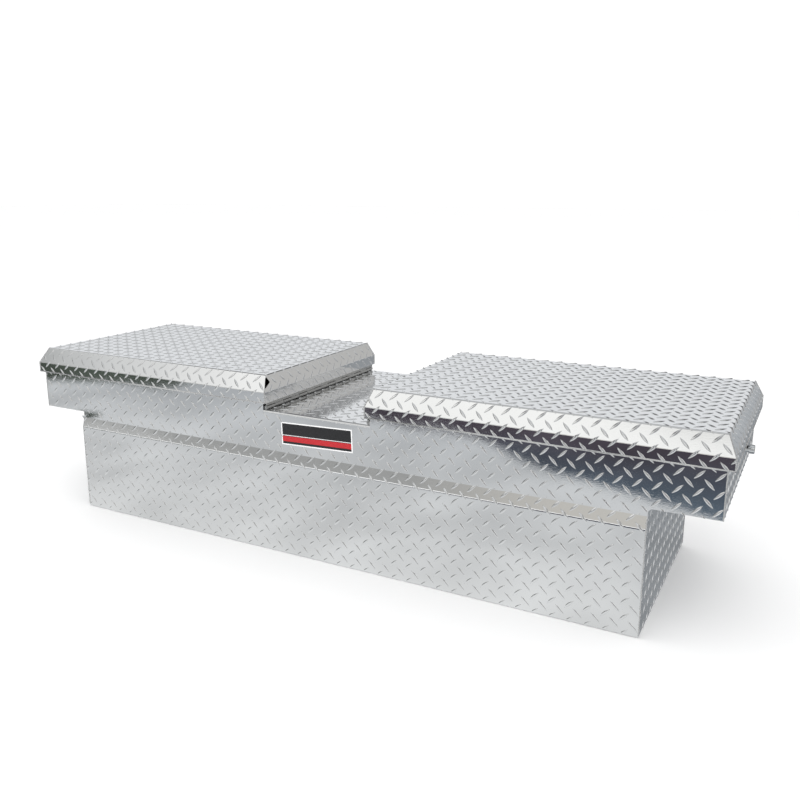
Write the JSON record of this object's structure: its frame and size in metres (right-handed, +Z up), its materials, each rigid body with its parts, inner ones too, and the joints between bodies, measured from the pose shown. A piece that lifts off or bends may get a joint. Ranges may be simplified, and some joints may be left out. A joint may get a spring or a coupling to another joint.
{
  "type": "truck tool box",
  "caption": "Gull-wing crossover truck tool box in bright tread plate: a tub below wide rail shelves, a saddle deck and two hinged lids on gas struts.",
  "frame": {"origin": "on the floor, under the middle of the box", "axes": "+X along the box towards its right end, +Y to the back, +Z up"},
  "size_m": [1.8448, 0.53, 0.439],
  "materials": {
    "tread_plate": "bright rolled tread plate",
    "plain_sheet": "mill finish",
    "badge": "printed film",
    "seal_rubber": "matt black",
    "stainless": "satin",
    "rivet_metal": "bright",
    "strut_black": "gloss black",
    "chromed_rod": "ground",
    "zinc_steel": "zinc plated",
    "lock_chrome": "polished",
    "key_metal": "nickelled",
    "spring_steel": "plain"
  },
  "bodies": {
    "box": {"tub_shell": "tread_plate", "front_panel": "tread_plate", "back_panel": "tread_plate", "saddle_deck": "tread_plate", "deck_stiffener": "plain_sheet", "badge_plate": "badge", "end_plate_right": "tread_plate", "end_wall_right": "tread_plate", "opening_frame_right": "plain_sheet", "lid_seal_right": "seal_rubber", "hinge_deck_leaf_right": "stainless", "hinge_pin_right": "stainless", "deck_rivets_right": "rivet_metal", "strut_wall_brackets_right": "zinc_steel", "lock_housing_right": "lock_chrome", "lock_nut_right": "zinc_steel", "button_spring_right": "spring_steel", "latch_frame_right": "zinc_steel", "latch_screws_right": "zinc_steel", "end_plate_left": "tread_plate", "end_wall_left": "tread_plate", "opening_frame_left": "plain_sheet", "lid_seal_left": "seal_rubber", "hinge_deck_leaf_left": "stainless", "hinge_pin_left": "stainless", "deck_rivets_left": "rivet_metal", "strut_wall_brackets_left": "zinc_steel", "lock_housing_left": "lock_chrome", "lock_nut_left": "zinc_steel", "button_spring_left": "spring_steel", "latch_frame_left": "zinc_steel", "latch_screws_left": "zinc_steel"},
    "lid_right": {"lid_skin_right": "tread_plate", "lid_liner_right": "plain_sheet", "lid_stiffeners_right": "plain_sheet", "hinge_lid_leaf_right": "stainless", "lid_rivets_right": "rivet_metal", "strut_lid_brackets_right": "zinc_steel", "striker_right": "zinc_steel"},
    "cylinders_right": {"strut_cylinders_right": "strut_black"},
    "rods_right": {"strut_rods_right": "chromed_rod"},
    "button_right": {"push_button_right": "lock_chrome"},
    "key_right": {"key_plug_right": "key_metal"},
    "pawl_right": {"latch_pawl_right": "zinc_steel"},
    "lid_left": {"lid_skin_left": "tread_plate", "lid_liner_left": "plain_sheet", "lid_stiffeners_left": "plain_sheet", "hinge_lid_leaf_left": "stainless", "lid_rivets_left": "rivet_metal", "strut_lid_brackets_left": "zinc_steel", "striker_left": "zinc_steel"},
    "cylinders_left": {"strut_cylinders_left": "strut_black"},
    "rods_left": {"strut_rods_left": "chromed_rod"},
    "button_left": {"push_button_left": "lock_chrome"},
    "key_left": {"key_plug_left": "key_metal"},
    "pawl_left": {"latch_pawl_left": "zinc_steel"}
  },
  "joints": [
    {"name": "lid_right_hinge", "type": "hinge", "parent": "box", "child": "lid_right", "pos_m": [0.1414, 0, 0.36215], "axis": [0, -1, 0], "range_deg": [0, 80]},
    {"name": "strut_right_lower_pivot", "type": "hinge", "parent": "box", "child": "cylinders_right", "pos_m": [0.25173, 0, 0.15466], "axis": [0, -1, 0], "range_deg": [0, 40]},
    {"name": "strut_right_upper_pivot", "type": "hinge", "parent": "lid_right", "child": "rods_right", "pos_m": [0.37513, 0, 0.38651], "axis": [0, 1, 0], "range_deg": [0, 40]},
    {"name": "button_right_push", "type": "slide", "parent": "box", "child": "button_right", "axis": [-1, 0, 0], "range_m": [0, 0.0065], "stiffness_N_per_m": 900, "springref_m": -0.005, "deforming": ["button_spring_right"]},
    {"name": "key_right_turn", "type": "hinge", "parent": "button_right", "child": "key_right", "pos_m": [0.92, 0, 0.345], "axis": [1, 0, 0], "range_deg": [0, 90]},
    {"name": "pawl_right_pivot", "type": "hinge", "parent": "box", "child": "pawl_right", "pos_m": [0.872, 0, 0.362], "axis": [0, 1, 0], "range_deg": [0, 24]},
    {"name": "lid_left_hinge", "type": "hinge", "parent": "box", "child": "lid_left", "pos_m": [-0.1414, 0, 0.36215], "axis": [0, 1, 0], "range_deg": [0, 80]},
    {"name": "strut_left_lower_pivot", "type": "hinge", "parent": "box", "child": "cylinders_left", "pos_m": [-0.25173, 0, 0.15466], "axis": [0, 1, 0], "range_deg": [0, 40]},
    {"name": "strut_left_upper_pivot", "type": "hinge", "parent": "lid_left", "child": "rods_left", "pos_m": [-0.37513, 0, 0.38651], "axis": [0, -1, 0], "range_deg": [0, 40]},
    {"name": "button_left_push", "type": "slide", "parent": "box", "child": "button_left", "axis": [1, 0, 0], "range_m": [0, 0.0065], "stiffness_N_per_m": 900, "springref_m": -0.005, "deforming": ["button_spring_left"]},
    {"name": "key_left_turn", "type": "hinge", "parent": "button_left", "child": "key_left", "pos_m": [-0.92, 0, 0.345], "axis": [-1, 0, 0], "range_deg": [0, 90]},
    {"name": "pawl_left_pivot", "type": "hinge", "parent": "box", "child": "pawl_left", "pos_m": [-0.872, 0, 0.362], "axis": [0, -1, 0], "range_deg": [0, 24]}
  ],
  "couplings": [
    {"joint": "strut_right_lower_pivot", "follows": "lid_right_hinge", "ratio": 0.5},
    {"joint": "strut_right_upper_pivot", "follows": "lid_right_hinge", "ratio": 0.5},
    {"joint": "pawl_right_pivot", "follows": "button_right_push", "rad_per_m": 62},
    {"joint": "strut_left_lower_pivot", "follows": "lid_left_hinge", "ratio": 0.5},
    {"joint": "strut_left_upper_pivot", "follows": "lid_left_hinge", "ratio": 0.5},
    {"joint": "pawl_left_pivot", "follows": "button_left_push", "rad_per_m": 62}
  ]
}
